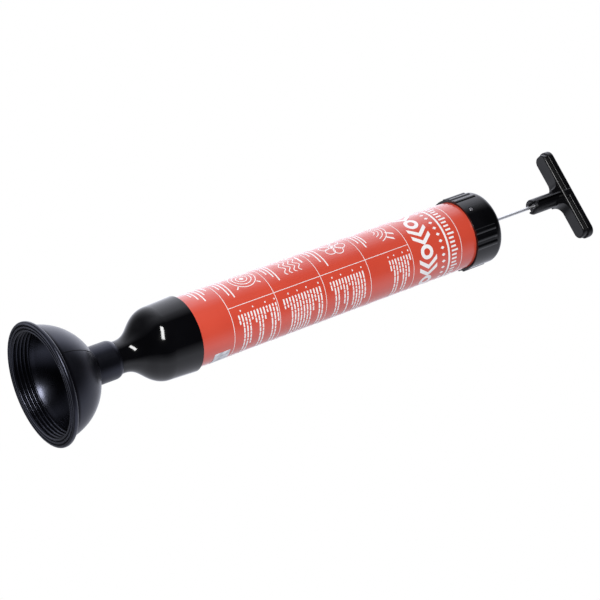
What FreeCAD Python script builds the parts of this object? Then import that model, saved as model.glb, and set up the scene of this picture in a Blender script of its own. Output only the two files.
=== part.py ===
import FreeCAD, Part
import math
import os

# A hand drain pump that stands on its rubber cup. The origin is the middle of the cup's rim, +Z runs
# up the barrel to the handle, and +X runs along the handle's grip bar. All sizes are in millimetres.
V = FreeCAD.Vector
UP = V(0, 0, 1)
ORIGIN = V(0, 0, 0)

# The rubber cup
BELL_RADIUS = 55.3
BELL_WALL = 3.6
LIP_REACH = 4.9
LIP_HEIGHT = 5.2
LIP_FRONT_ROUND = 2.2
LIP_BACK_ROUND = 2.6
MOUTH_WALL = 4.9
MOUTH_DEPTH = 17.2
MOUTH_EDGE = 1.5
FACE_GROOVES = 2
FACE_GROOVE_INSET = 3.6
FACE_GROOVE_PITCH = 3.2
FACE_GROOVE_WIDTH = 2.4
WALL_GROOVES = 4
WALL_GROOVE_START = 3.6
WALL_GROOVE_PITCH = 3.87
WALL_GROOVE_WIDTH = 3.6
CUP_GROOVE_DEPTH = 1.5
COLLAR_WALL = 5.7
COLLAR_LENGTH = 23.2
COLLAR_EDGE_HEIGHT = 5.0
COLLAR_EDGE_DRAW = 1.7
COLLAR_FILLET = 2.5

# The funnel nozzle, whose spigot the collar is stretched over
SPIGOT_RADIUS = 13.0
SPIGOT_INSET = 2.5
SPIGOT_BEAD = 0.9
SPIGOT_BEAD_DROP = 9.0
SPIGOT_WALL = 3.5
NECK_STEP = 2.8
NECK_LENGTH = 5.2
FLARE_LENGTH = 42.0
FLARE_BEND = 19.0
SHOULDER_WALL = 1.4
SLEEVE_LENGTH = 27.2
SLEEVE_MOUTH_WALL = 2.6
SLEEVE_LEAD = 2.5
SLEEVE_LEAD_GAP = 1.3
SEAT_WIDTH = 4.0
SEAT_RISE = 3.5

# The barrel
TUBE_RADIUS = 35.0
TUBE_WALL = 2.5
TUBE_LENGTH = 383.0
GASKET_THICK = 1.5

# The rear cap
CAP_WALL = 2.45
CAP_SKIRT = 28.4
CAP_END_WALL = 7.0
CAP_EDGE = 7.0
CAP_MOUTH_GAP = 0.3
CAP_MOUTH_DEPTH = 3.0
RIB_GROUPS = 4
RIBS_IN_GROUP = 3
RIB_CENTRE_DEG = -55.8
RIB_PITCH_DEG = 12.75
RIB_ROUND = 4.1
RIB_HEIGHT = 1.1
RIB_REAR_RIM = 2.5
SCREWS = 2
SCREW_ANGLE_DEG = -107.0
SCREW_HEIGHT = 8.4
SCREW_SHANK_RADIUS = 1.5
SCREW_HEAD_RADIUS = 2.3
SCREW_HEAD_HEIGHT = 1.2
SCREW_HEAD_ROUND = 0.7
SCREW_RECESS_DEPTH = 1.2
SCREW_RECESS_GAP = 0.6
SCREW_SLOT_WIDTH = 0.7
SCREW_SLOT_DEPTH = 0.6
BOSS_RADIUS = 11.0
BOSS_DEPTH = 7.5
BOSS_LIP = 1.0
BUMPER_WALL = 8.0
BUMPER_STAND = 4.0

# The rod and its guide
ROD_RADIUS = 1.6
BUSH_WALL = 3.4
WIPER_LENGTH = 2.5
RETAINER_THICK = 0.8
RETAINER_GROOVE = 0.6
RETAINER_REACH = 0.4

# The piston
PISTON_LENGTH = 20.0
PISTON_GAP = 1.3
FLANGE_LENGTH = 7.0
SEAL_WIDTH = 9.3
WEAR_GROOVE_LENGTH = 4.0
WEAR_GROOVE_DEPTH = 1.8
WEAR_SPLIT = 2.0
SEAL_LIP = 2.0
SEAL_BASE = 2.6
WASHER_COVER = 3.1
WASHER_THICK = 1.5
NUT_WALL = 1.5
NUT_HEIGHT = 4.0
JAM_NUT_HEIGHT = 2.2
ROD_TIP = 1.0

# The T-handle
ROD_SHOWN = 68.5
STEM_RADIUS = 8.2
STEM_LENGTH = 41.8
FORK_WIDTH = 7.0
FORK_DEPTH = 5.5
FORK_TIP = 3.2
STEM_POCKET_WIDTH = 5.4
STEM_POCKET_END = 2.5
CORE_WALL = 1.5
GRIP_LENGTH = 102.6
GRIP_WIDTH = 18.6
GRIP_DEPTH = 13.6
CROWN_THICK = 7.6
CROWN_CORNER = 8.5
CROWN_TOP_EDGE = 2.2
CROWN_LOW_EDGE = 0.8
PLATE_THICK = 2.4
PLATE_CORNER = 7.5
PLATE_EDGE = 2.0
PLATE_END_STEP = 2.0
PLATE_SIDE_STEP = 0.4
RECESS_DEPTH = 3.0
RECESS_END_WALL = 4.6
GUSSET_RISE = 11.0
GUSSET_REACH = 14.0
GUSSET_WIDTH = 14.0
CENTRE_RIB = 7.6
CENTRE_RIB_STAND = 0.4
CENTRE_RIB_ROUND = 1.6
INSERT_WALL = 1.2
INSERT_LENGTH = 20.0
INSERT_END_WALL = 2.0

# Fits and clearances
SEAT_CLEARANCE = 0.05
RUNNING_CLEARANCE = 0.05
SEAL_CLEARANCE = 0.3
AXIAL_PLAY = 0.1
COLLAR_GAP = 0.3
STOP_CLEARANCE = 0.5
FRONT_GAP = 3.0

# Radii and heights that follow from the sizes above
BOWL_RADIUS = BELL_RADIUS - BELL_WALL
MOUTH_RADIUS = BELL_RADIUS - MOUTH_WALL
LIP_RADIUS = BELL_RADIUS + LIP_REACH
COLLAR_RADIUS = SPIGOT_RADIUS + COLLAR_WALL
COLLAR_TOP = BELL_RADIUS + COLLAR_LENGTH
THROAT_RADIUS = SPIGOT_RADIUS + SEAT_CLEARANCE
THROAT_FOOT = math.sqrt(BOWL_RADIUS**2 - THROAT_RADIUS**2)
NOZZLE_BORE = SPIGOT_RADIUS - SPIGOT_WALL
NECK_RADIUS = SPIGOT_RADIUS + NECK_STEP
BORE_RADIUS = TUBE_RADIUS - TUBE_WALL
SHOULDER_RADIUS = TUBE_RADIUS + SHOULDER_WALL
SLEEVE_RADIUS = TUBE_RADIUS + SLEEVE_MOUTH_WALL
FIT_RADIUS = TUBE_RADIUS + SEAT_CLEARANCE
SEAT_INNER = TUBE_RADIUS - SEAT_WIDTH
NECK_START = COLLAR_TOP + COLLAR_GAP
FLARE_START = NECK_START + NECK_LENGTH
FLARE_END = FLARE_START + FLARE_LENGTH
SLEEVE_END = FLARE_END + SLEEVE_LENGTH
SEAT_HEIGHT = FLARE_END + SEAT_RISE
TUBE_START = SEAT_HEIGHT + GASKET_THICK
TUBE_END = TUBE_START + TUBE_LENGTH
CAP_RADIUS = TUBE_RADIUS + CAP_WALL
CAP_FLOOR = TUBE_END + GASKET_THICK
CAP_START = CAP_FLOOR - CAP_SKIRT
CAP_END = CAP_FLOOR + CAP_END_WALL
RIB_END = CAP_END - CAP_EDGE - RIB_REAR_RIM
BOSS_END = CAP_FLOOR - BOSS_DEPTH
BUMPER_RADIUS = BOSS_RADIUS + BUMPER_WALL
BUMPER_FACE = BOSS_END - BUMPER_STAND
BUSH_RADIUS = ROD_RADIUS + BUSH_WALL
SOCKET_RADIUS = BUSH_RADIUS + SEAT_CLEARANCE
SOCKET_FOOT = BOSS_END + BOSS_LIP
RETAINER_TOP = CAP_END - RETAINER_GROOVE
RETAINER_FOOT = RETAINER_TOP - RETAINER_THICK
WIPER_FOOT = RETAINER_FOOT - WIPER_LENGTH
SCREW_LEVEL = CAP_START + SCREW_HEIGHT
SCREW_SEAT = CAP_RADIUS - SCREW_RECESS_DEPTH
SEAL_RADIUS = BORE_RADIUS - SEAL_CLEARANCE
FLANGE_RADIUS = BORE_RADIUS - PISTON_GAP
HUB_RADIUS = FLANGE_RADIUS - SEAL_WIDTH
WASHER_RADIUS = HUB_RADIUS + WASHER_COVER
NUT_FLATS = 2 * (ROD_RADIUS + NUT_WALL)
FRONT_WASHER = TUBE_START + FRONT_GAP + ROD_SHOWN - STOP_CLEARANCE
PISTON_START = FRONT_WASHER + WASHER_THICK + AXIAL_PLAY
PISTON_END = PISTON_START + PISTON_LENGTH
FLANGE_START = PISTON_START + (PISTON_LENGTH - FLANGE_LENGTH) / 2
FLANGE_END = FLANGE_START + FLANGE_LENGTH
WEAR_FLOOR = FLANGE_RADIUS - WEAR_GROOVE_DEPTH
WEAR_START = (FLANGE_START + FLANGE_END - WEAR_GROOVE_LENGTH) / 2
WEAR_END = WEAR_START + WEAR_GROOVE_LENGTH
REAR_WASHER = PISTON_END + AXIAL_PLAY
JAM_NUT_START = REAR_WASHER + WASHER_THICK
NUT_START = FRONT_WASHER - NUT_HEIGHT
ROD_START = NUT_START - ROD_TIP
STEM_START = CAP_END + ROD_SHOWN
STEM_WEB_START = STEM_START + FORK_DEPTH
GRIP_START = STEM_START + STEM_LENGTH
GRIP_END = GRIP_START + GRIP_DEPTH
CROWN_START = GRIP_END - CROWN_THICK
PLATE_END = GRIP_START + PLATE_THICK
PLATE_LENGTH = GRIP_LENGTH - 2 * PLATE_END_STEP
PLATE_WIDTH = GRIP_WIDTH - 2 * PLATE_SIDE_STEP
INSERT_RADIUS = ROD_RADIUS + INSERT_WALL
STEM_CORE_RADIUS = INSERT_RADIUS + CORE_WALL
INSERT_END = STEM_WEB_START + INSERT_LENGTH
ROD_END = INSERT_END - INSERT_END_WALL


def at(radius, height):
    """A point of an outline in the X-Z plane."""
    return V(radius, 0, height)


def outline(start, *steps):
    """A closed wire. A step is a point, a middle and an end of an arc, or three poles of a curve."""
    edges = []
    here = start
    for step in steps + (start,):
        points = step if isinstance(step[0], tuple) else (step,)
        poles = [at(*here)] + [at(*point) for point in points]
        if points[-1] == here:
            continue
        if len(points) == 1:
            edges.append(Part.LineSegment(*poles).toShape())
        elif len(points) == 2:
            edges.append(Part.Arc(*poles).toShape())
        else:
            bend = Part.BezierCurve()
            bend.setPoles(poles)
            edges.append(bend.toShape())
        here = points[-1]
    return Part.Wire(edges)


def turned(start, *steps):
    """A solid of revolution about the pump's axis from a closed outline of (radius, height) steps."""
    return Part.Face(outline(start, *steps)).revolve(ORIGIN, UP, 360)


def ring(inner, outer, low, high):
    return turned((inner, low), (outer, low), (outer, high), (inner, high))


def cylinder(radius, low, high):
    return Part.makeCylinder(radius, high - low, V(0, 0, low), UP)


def centred_box(length, width, low, high):
    return Part.makeBox(length, width, high - low, V(-length / 2, -width / 2, low))


def round_bead(radius, height, size):
    """A thin ring of round section, which stands on a face or leaves a groove in it."""
    return Part.makeTorus(radius, size, V(0, 0, height), UP)


def turn(shape, degrees):
    copy = shape.copy()
    copy.rotate(ORIGIN, UP, degrees)
    return copy


def on_arc(radius, centre, degrees):
    """A point of the circle around (radius, height), with 0 degrees outward and 90 degrees up."""
    angle = math.radians(degrees)
    return (centre[0] + radius * math.cos(angle), centre[1] + radius * math.sin(angle))


def arc_between(radius, centre, start, end):
    """The middle and the end of an arc that goes the short way from the start."""
    first = math.degrees(math.atan2(start[1] - centre[1], start[0] - centre[0]))
    last = math.degrees(math.atan2(end[1] - centre[1], end[0] - centre[0]))
    sweep = (last - first + 180) % 360 - 180
    return (on_arc(radius, centre, first + sweep / 2), end)


def height_on_ball(ball_radius, radius):
    return math.sqrt(ball_radius**2 - radius**2)


def suction_cup():
    """A bell with a rounded lip, a ringed mouth and a collar that grips the nozzle's spigot."""
    front_corner = (LIP_RADIUS - LIP_FRONT_ROUND, LIP_FRONT_ROUND)
    back_corner = (LIP_RADIUS - LIP_BACK_ROUND, LIP_HEIGHT - LIP_BACK_ROUND)
    bell_foot = (height_on_ball(BELL_RADIUS, LIP_HEIGHT), LIP_HEIGHT)
    root_radius = COLLAR_RADIUS + COLLAR_FILLET
    root_centre = (root_radius, height_on_ball(BELL_RADIUS + COLLAR_FILLET, root_radius))
    touch = BELL_RADIUS / (BELL_RADIUS + COLLAR_FILLET)
    bell_end = (root_centre[0] * touch, root_centre[1] * touch)
    collar_foot = (COLLAR_RADIUS, root_centre[1])
    collar_bend = (COLLAR_EDGE_HEIGHT**2 + COLLAR_EDGE_DRAW**2) / (2 * COLLAR_EDGE_DRAW)
    edge_foot = (COLLAR_RADIUS, COLLAR_TOP - COLLAR_EDGE_HEIGHT)
    edge_centre = (COLLAR_RADIUS - collar_bend, edge_foot[1])
    edge_end = (COLLAR_RADIUS - COLLAR_EDGE_DRAW, COLLAR_TOP)
    throat_foot = (THROAT_RADIUS, THROAT_FOOT)
    bowl_end = (height_on_ball(BOWL_RADIUS, MOUTH_DEPTH), MOUTH_DEPTH)
    mouth_foot = (MOUTH_RADIUS + MOUTH_EDGE, 0)
    mouth_side = (MOUTH_RADIUS, MOUTH_EDGE)
    body = turned(
        mouth_foot,
        *face_grooves(),
        (front_corner[0], 0),
        (on_arc(LIP_FRONT_ROUND, front_corner, -45), on_arc(LIP_FRONT_ROUND, front_corner, 0)),
        on_arc(LIP_BACK_ROUND, back_corner, 0),
        (on_arc(LIP_BACK_ROUND, back_corner, 45), on_arc(LIP_BACK_ROUND, back_corner, 90)),
        bell_foot,
        arc_between(BELL_RADIUS, (0, 0), bell_foot, bell_end),
        arc_between(COLLAR_FILLET, root_centre, bell_end, collar_foot),
        edge_foot,
        arc_between(collar_bend, edge_centre, edge_foot, edge_end),
        (THROAT_RADIUS, COLLAR_TOP),
        throat_foot,
        arc_between(BOWL_RADIUS, (0, 0), throat_foot, bowl_end),
        (MOUTH_RADIUS, MOUTH_DEPTH),
        *wall_grooves(),
        mouth_side,
        arc_between(MOUTH_EDGE, (mouth_foot[0], MOUTH_EDGE), mouth_side, mouth_foot),
    )
    return body.cut(spigot_bead(SEAT_CLEARANCE))


def groove_steps(point, centre, half):
    """Steps of an outline down into a groove and out again, in the direction in which half points."""
    near = centre - half / 2
    far = centre + half / 2
    down = (point(near, 0), point(near, CUP_GROOVE_DEPTH), point(centre, CUP_GROOVE_DEPTH))
    up = (point(far, CUP_GROOVE_DEPTH), point(far, 0), point(centre + half, 0))
    return [point(centre - half, 0), down, up]


def face_grooves():
    """The grooves in the lip's flat face, from the inner one outward."""
    steps = []
    for n in reversed(range(FACE_GROOVES)):
        centre = LIP_RADIUS - FACE_GROOVE_INSET - n * FACE_GROOVE_PITCH
        steps += groove_steps(lambda radius, depth: (radius, depth), centre, FACE_GROOVE_WIDTH / 2)
    return steps


def wall_grooves():
    """The grooves in the wall of the mouth, from the deepest one to the rim."""
    steps = []
    for n in reversed(range(WALL_GROOVES)):
        centre = WALL_GROOVE_START + n * WALL_GROOVE_PITCH
        half = -WALL_GROOVE_WIDTH / 2
        steps += groove_steps(lambda height, depth: (MOUTH_RADIUS + depth, height), centre, half)
    return steps


def spigot_bead(clearance):
    """The bead that keeps the collar on the spigot, and with a clearance the groove it sits in."""
    return round_bead(SPIGOT_RADIUS, COLLAR_TOP - SPIGOT_BEAD_DROP, SPIGOT_BEAD + clearance)


def nozzle():
    """The funnel from the spigot in the cup's collar to the sleeve on the tube."""
    foot = THROAT_FOOT + SPIGOT_INSET
    funnel = turned(
        (NOZZLE_BORE, foot),
        (SPIGOT_RADIUS, foot),
        (SPIGOT_RADIUS, NECK_START),
        (NECK_RADIUS, NECK_START),
        (NECK_RADIUS, FLARE_START),
        (
            (NECK_RADIUS, FLARE_START + FLARE_BEND),
            (SHOULDER_RADIUS, FLARE_END - FLARE_BEND),
            (SHOULDER_RADIUS, FLARE_END),
        ),
        (SLEEVE_RADIUS, SLEEVE_END),
        (FIT_RADIUS + SLEEVE_LEAD_GAP, SLEEVE_END),
        (FIT_RADIUS, SLEEVE_END - SLEEVE_LEAD),
        (FIT_RADIUS, SEAT_HEIGHT),
        (SEAT_INNER, SEAT_HEIGHT),
        (
            (SEAT_INNER, SEAT_HEIGHT - FLARE_BEND),
            (NOZZLE_BORE, FLARE_START + FLARE_BEND),
            (NOZZLE_BORE, FLARE_START),
        ),
    )
    return funnel.fuse(spigot_bead(0)).removeSplitter()


def barrel_tube():
    tube = ring(BORE_RADIUS, TUBE_RADIUS, TUBE_START, TUBE_END)
    return tube.cut(Part.makeCompound(each_screw(screw_hole)))


def flat_gasket(low):
    return ring(SEAT_INNER, TUBE_RADIUS - SEAT_CLEARANCE, low, low + GASKET_THICK)


def each_screw(make):
    """What make gives for a screw that points along +X, turned to the place of every screw."""
    return [turn(make(), SCREW_ANGLE_DEG + n * 360 / SCREWS) for n in range(SCREWS)]


def radial_cylinder(radius, inner, outer):
    return Part.makeCylinder(radius, outer - inner, V(inner, 0, SCREW_LEVEL), V(1, 0, 0))


def screw_hole():
    return radial_cylinder(SCREW_SHANK_RADIUS + SEAT_CLEARANCE, BORE_RADIUS - TUBE_WALL, CAP_RADIUS)


def screw_recess():
    return radial_cylinder(SCREW_HEAD_RADIUS + SCREW_RECESS_GAP, SCREW_SEAT, CAP_RADIUS + CAP_WALL)


def cap_screw():
    """A pan head sunk in the cap and a shank that ends inside the tube's wall."""
    top = SCREW_SEAT + SCREW_HEAD_HEIGHT
    head = radial_cylinder(SCREW_HEAD_RADIUS, SCREW_SEAT, top)
    rim = [edge for edge in head.Edges if edge.BoundBox.XMin > top - SCREW_HEAD_HEIGHT / 2]
    head = head.makeFillet(SCREW_HEAD_ROUND, rim)
    shank = radial_cylinder(SCREW_SHANK_RADIUS, BORE_RADIUS + SEAT_CLEARANCE, SCREW_SEAT)
    slot_corner = V(top - SCREW_SLOT_DEPTH, -SCREW_HEAD_RADIUS, SCREW_LEVEL - SCREW_SLOT_WIDTH / 2)
    slot = Part.makeBox(SCREW_HEAD_HEIGHT, 2 * SCREW_HEAD_RADIUS, SCREW_SLOT_WIDTH, slot_corner)
    return head.fuse(shank).removeSplitter().cut(slot)


def cap_screws():
    return Part.makeCompound(each_screw(cap_screw))


def grip_rib():
    """A straight rib with a round back at angle zero, sunk halfway into the cap's wall."""
    base = CAP_RADIUS - CAP_WALL / 2
    crest = CAP_RADIUS + RIB_HEIGHT
    half = math.sqrt(RIB_ROUND**2 - (base - crest + RIB_ROUND)**2)
    left = V(base, -half, CAP_START)
    right = V(base, half, CAP_START)
    back = Part.Arc(left, V(crest, 0, CAP_START), right).toShape()
    section = Part.Wire([back, Part.LineSegment(right, left).toShape()])
    return Part.Face(section).extrude(V(0, 0, RIB_END - CAP_START))


def grip_ribs():
    """The ribs stand side by side in groups, which are spaced evenly round the cap."""
    ribs = []
    for group in range(RIB_GROUPS):
        for n in range(RIBS_IN_GROUP):
            aside = (n - (RIBS_IN_GROUP - 1) / 2) * RIB_PITCH_DEG
            ribs.append(turn(grip_rib(), RIB_CENTRE_DEG + group * 360 / RIB_GROUPS + aside))
    return ribs


def rear_cap():
    """The ribbed cap over the tube's rear end, with a boss inside for the rod's bush."""
    corner = (CAP_RADIUS - CAP_EDGE, CAP_END - CAP_EDGE)
    groove = SOCKET_RADIUS + RETAINER_GROOVE
    rod_way = ROD_RADIUS + RETAINER_REACH
    body = turned(
        (FIT_RADIUS + CAP_MOUTH_GAP, CAP_START),
        (CAP_RADIUS, CAP_START),
        (CAP_RADIUS, CAP_END - CAP_EDGE),
        (on_arc(CAP_EDGE, corner, 45), (CAP_RADIUS - CAP_EDGE, CAP_END)),
        (SOCKET_RADIUS, CAP_END),
        (SOCKET_RADIUS, RETAINER_TOP),
        (groove, RETAINER_TOP),
        (groove, RETAINER_FOOT),
        (SOCKET_RADIUS, RETAINER_FOOT),
        (SOCKET_RADIUS, SOCKET_FOOT),
        (rod_way, SOCKET_FOOT),
        (rod_way, BOSS_END),
        (BOSS_RADIUS, BOSS_END),
        (BOSS_RADIUS, CAP_FLOOR),
        (FIT_RADIUS, CAP_FLOOR),
        (FIT_RADIUS, CAP_START + CAP_MOUTH_DEPTH),
    )
    ribbed = body.fuse(grip_ribs()).removeSplitter()
    return ribbed.cut(Part.makeCompound(each_screw(screw_hole) + each_screw(screw_recess)))


def rod_bush():
    return ring(ROD_RADIUS + RUNNING_CLEARANCE, BUSH_RADIUS, SOCKET_FOOT, WIPER_FOOT)


def rod_wiper():
    return ring(ROD_RADIUS + RUNNING_CLEARANCE, BUSH_RADIUS, WIPER_FOOT, RETAINER_FOOT)


def wiper_retainer():
    return ring(ROD_RADIUS + RETAINER_REACH, BUSH_RADIUS + RETAINER_GROOVE, RETAINER_FOOT, RETAINER_TOP)


def rear_bumper():
    return ring(BOSS_RADIUS + SEAT_CLEARANCE, BUMPER_RADIUS, BUMPER_FACE, CAP_FLOOR)


def piston_body():
    """A spool: a hub with a wide flange in its middle that carries the guide ring."""
    bore = ROD_RADIUS + RUNNING_CLEARANCE
    return turned(
        (bore, PISTON_START),
        (HUB_RADIUS, PISTON_START),
        (HUB_RADIUS, FLANGE_START),
        (FLANGE_RADIUS, FLANGE_START),
        (FLANGE_RADIUS, WEAR_START),
        (WEAR_FLOOR, WEAR_START),
        (WEAR_FLOOR, WEAR_END),
        (FLANGE_RADIUS, WEAR_END),
        (FLANGE_RADIUS, FLANGE_END),
        (HUB_RADIUS, FLANGE_END),
        (HUB_RADIUS, PISTON_END),
        (bore, PISTON_END),
    )


def lip_seal():
    """A seal ring of U section that stands on height zero, opens upward and leans to the bore."""
    inner = HUB_RADIUS + SEAT_CLEARANCE
    height = FLANGE_START - PISTON_START
    return turned(
        (inner, 0),
        (SEAL_RADIUS - SEAL_LIP / 4, 0),
        (SEAL_RADIUS, SEAL_BASE),
        (SEAL_RADIUS, height - SEAL_LIP / 4),
        (SEAL_RADIUS - SEAL_LIP / 2, height),
        (SEAL_RADIUS - SEAL_LIP, SEAL_BASE),
        (inner + SEAL_LIP, SEAL_BASE),
        (inner + SEAL_LIP, height),
        (inner, height),
    )


def front_piston_cup():
    seal = lip_seal().mirror(ORIGIN, UP)
    seal.translate(V(0, 0, FLANGE_START))
    return seal


def rear_piston_cup():
    seal = lip_seal()
    seal.translate(V(0, 0, FLANGE_END))
    return seal


def piston_wear_ring():
    """A guide ring in the flange's groove, split so that it can be sprung on."""
    low = WEAR_START + SEAT_CLEARANCE
    high = WEAR_END - SEAT_CLEARANCE
    whole = ring(WEAR_FLOOR + SEAT_CLEARANCE, SEAL_RADIUS, low, high)
    return whole.cut(Part.makeBox(BORE_RADIUS, WEAR_SPLIT, high - low, V(0, -WEAR_SPLIT / 2, low)))


def hex_nut(low, height):
    corner = V(NUT_FLATS / math.sqrt(3), 0, low)
    turns = [FreeCAD.Rotation(UP, 60 * n) for n in range(7)]
    body = Part.Face(Part.makePolygon([step.multVec(corner) for step in turns])).extrude(V(0, 0, height))
    return body.cut(cylinder(ROD_RADIUS + SEAT_CLEARANCE, low, low + height))


def washer(low):
    return ring(ROD_RADIUS + SEAT_CLEARANCE, WASHER_RADIUS, low, low + WASHER_THICK)


def piston_rod():
    """A straight rod with a chamfer at each end."""
    rod = cylinder(ROD_RADIUS, ROD_START, ROD_END)
    ends = [edge for edge in rod.Edges if len(edge.Vertexes) == 1]
    return rod.makeChamfer(ROD_RADIUS / 4, ends)


def rounded_bar(length, width, corner, low, high):
    """A flat bar along X with rounded corners in plan."""
    bar = centred_box(length, width, low, high)
    uprights = [edge for edge in bar.Edges if edge.BoundBox.ZLength > (high - low) / 2]
    return bar.makeFillet(corner, uprights)


def round_rim(shape, height, size):
    """The shape with all edges of its flat face at a height rounded."""
    rim = [edge for edge in shape.Edges if abs(edge.CenterOfMass.z - height) < size / 4]
    return shape.makeFillet(size, rim)


def grip_plate():
    """The lower flange, which the fingers pull on."""
    plate = rounded_bar(PLATE_LENGTH, PLATE_WIDTH, PLATE_CORNER, GRIP_START, PLATE_END)
    return round_rim(plate, GRIP_START, PLATE_EDGE)


def grip_crown():
    """The thick upper flange, which the palm pushes on."""
    crown = rounded_bar(GRIP_LENGTH, GRIP_WIDTH, CROWN_CORNER, CROWN_START, GRIP_END)
    return round_rim(round_rim(crown, CROWN_START, CROWN_LOW_EDGE), GRIP_END, CROWN_TOP_EDGE)


def grip_web():
    """The wall between the flanges. Its recess is closed at the ends on one side and open on the other."""
    web = rounded_bar(PLATE_LENGTH, PLATE_WIDTH, PLATE_CORNER, PLATE_END, CROWN_START)
    closed = centred_box(PLATE_LENGTH - 2 * RECESS_END_WALL, 2 * RECESS_DEPTH, PLATE_END, CROWN_START)
    closed.translate(V(0, -PLATE_WIDTH / 2, 0))
    through = centred_box(GRIP_LENGTH, 2 * RECESS_DEPTH, PLATE_END, CROWN_START)
    through.translate(V(0, PLATE_WIDTH / 2, 0))
    return web.cut([closed, through])


def centre_rib():
    """An upright rib across the middle of the grip, which stands a little proud of both sides."""
    width = GRIP_WIDTH + 2 * CENTRE_RIB_STAND
    return rounded_bar(CENTRE_RIB, width, CENTRE_RIB_ROUND, PLATE_END, GRIP_END - CROWN_TOP_EDGE)


def gusset():
    """The flared root between the stem and the grip, alike on both sides."""
    low = GRIP_START - GUSSET_RISE
    reach = STEM_RADIUS + GUSSET_REACH
    bend_x = STEM_RADIUS + GUSSET_REACH / 4
    bend_z = GRIP_START - GUSSET_RISE / 3
    wire = outline(
        (-STEM_RADIUS, low),
        (STEM_RADIUS, low),
        ((STEM_RADIUS, bend_z), (bend_x, GRIP_START), (reach, GRIP_START)),
        (reach, GRIP_START + PLATE_THICK),
        (-reach, GRIP_START + PLATE_THICK),
        (-reach, GRIP_START),
        ((-bend_x, GRIP_START), (-STEM_RADIUS, bend_z), (-STEM_RADIUS, low)),
    )
    body = Part.Face(wire).extrude(V(0, GUSSET_WIDTH, 0))
    body.translate(V(0, -GUSSET_WIDTH / 2, 0))
    return body


def stem():
    """A round stem with a forked end and a pocket on either side of its core."""
    shaft = cylinder(STEM_RADIUS, STEM_START, GRIP_START + PLATE_THICK)
    shaft = round_rim(shaft, STEM_START, FORK_TIP)
    pocket_low = STEM_WEB_START + STEM_POCKET_END
    pockets = centred_box(STEM_POCKET_WIDTH, 2 * GRIP_WIDTH, pocket_low, GRIP_START)
    core = cylinder(STEM_CORE_RADIUS, pocket_low, GRIP_START)
    fork = centred_box(FORK_WIDTH, 2 * GRIP_WIDTH, STEM_START, STEM_WEB_START)
    return shaft.fuse(gusset()).cut(pockets).fuse(core).cut(fork)


def handle_grip():
    """A T: two flanges joined by a web and a middle rib, on the forked stem."""
    body = grip_plate().fuse([grip_web(), grip_crown(), centre_rib(), stem()]).removeSplitter()
    return body.cut(cylinder(INSERT_RADIUS + SEAT_CLEARANCE, STEM_WEB_START, INSERT_END))


def handle_insert():
    """A threaded bush that holds the rod's end in the handle."""
    body = cylinder(INSERT_RADIUS, STEM_WEB_START, INSERT_END)
    return body.cut(cylinder(ROD_RADIUS + SEAT_CLEARANCE, STEM_WEB_START, ROD_END))


PARTS = {
    "suction_cup": suction_cup,
    "nozzle": nozzle,
    "nozzle_gasket": lambda: flat_gasket(SEAT_HEIGHT),
    "barrel_tube": barrel_tube,
    "cap_gasket": lambda: flat_gasket(TUBE_END),
    "rear_cap": rear_cap,
    "cap_screws": cap_screws,
    "rod_bush": rod_bush,
    "rod_wiper": rod_wiper,
    "wiper_retainer": wiper_retainer,
    "rear_bumper": rear_bumper,
    "piston_body": piston_body,
    "front_piston_cup": front_piston_cup,
    "rear_piston_cup": rear_piston_cup,
    "piston_wear_ring": piston_wear_ring,
    "front_washer": lambda: washer(FRONT_WASHER),
    "rear_washer": lambda: washer(REAR_WASHER),
    "piston_nut": lambda: hex_nut(NUT_START, NUT_HEIGHT),
    "jam_nut": lambda: hex_nut(JAM_NUT_START, JAM_NUT_HEIGHT),
    "piston_rod": piston_rod,
    "handle_grip": handle_grip,
    "handle_insert": handle_insert,
}


def main():
    os.makedirs("parts", exist_ok=True)
    for name, make in PARTS.items():
        shape = make()
        shape.exportStep("parts/" + name + ".step")
        state = "valid" if shape.isValid() else "NOT VALID"
        print(name, len(shape.Solids), state, round(shape.Volume))
    print("push from rest", round(ROD_SHOWN - STOP_CLEARANCE, 2))
    print("pull from rest", round(BUMPER_FACE - STOP_CLEARANCE - JAM_NUT_START, 2))
    print("height", round(GRIP_END, 2))


main()
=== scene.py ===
import math
import random

import bpy
from mathutils import Matrix, Vector
from mathutils.bvhtree import BVHTree


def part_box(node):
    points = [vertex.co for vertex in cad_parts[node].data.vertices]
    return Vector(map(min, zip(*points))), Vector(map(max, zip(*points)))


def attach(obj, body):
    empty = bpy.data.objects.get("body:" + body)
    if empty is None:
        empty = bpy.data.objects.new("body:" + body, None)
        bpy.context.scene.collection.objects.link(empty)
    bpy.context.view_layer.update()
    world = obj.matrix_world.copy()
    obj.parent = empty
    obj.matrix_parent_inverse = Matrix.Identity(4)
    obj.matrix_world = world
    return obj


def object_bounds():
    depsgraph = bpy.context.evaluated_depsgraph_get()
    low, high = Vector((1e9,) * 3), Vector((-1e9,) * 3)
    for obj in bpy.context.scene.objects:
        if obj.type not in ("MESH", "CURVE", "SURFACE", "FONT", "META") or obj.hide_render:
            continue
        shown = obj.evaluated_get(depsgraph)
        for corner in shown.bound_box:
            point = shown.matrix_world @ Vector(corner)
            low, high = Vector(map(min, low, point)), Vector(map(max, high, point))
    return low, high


# The looks of a hand drain pump: its studio, the finish of every piece and the print on its barrel

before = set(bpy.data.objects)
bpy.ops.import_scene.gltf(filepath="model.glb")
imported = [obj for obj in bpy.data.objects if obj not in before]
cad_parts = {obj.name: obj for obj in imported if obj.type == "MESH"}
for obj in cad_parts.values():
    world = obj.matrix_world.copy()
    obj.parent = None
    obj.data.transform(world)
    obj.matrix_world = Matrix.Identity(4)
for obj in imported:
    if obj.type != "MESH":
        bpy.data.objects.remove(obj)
cad_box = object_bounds()

MM = 0.001
WHITE = (1.0, 1.0, 1.0)

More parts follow.
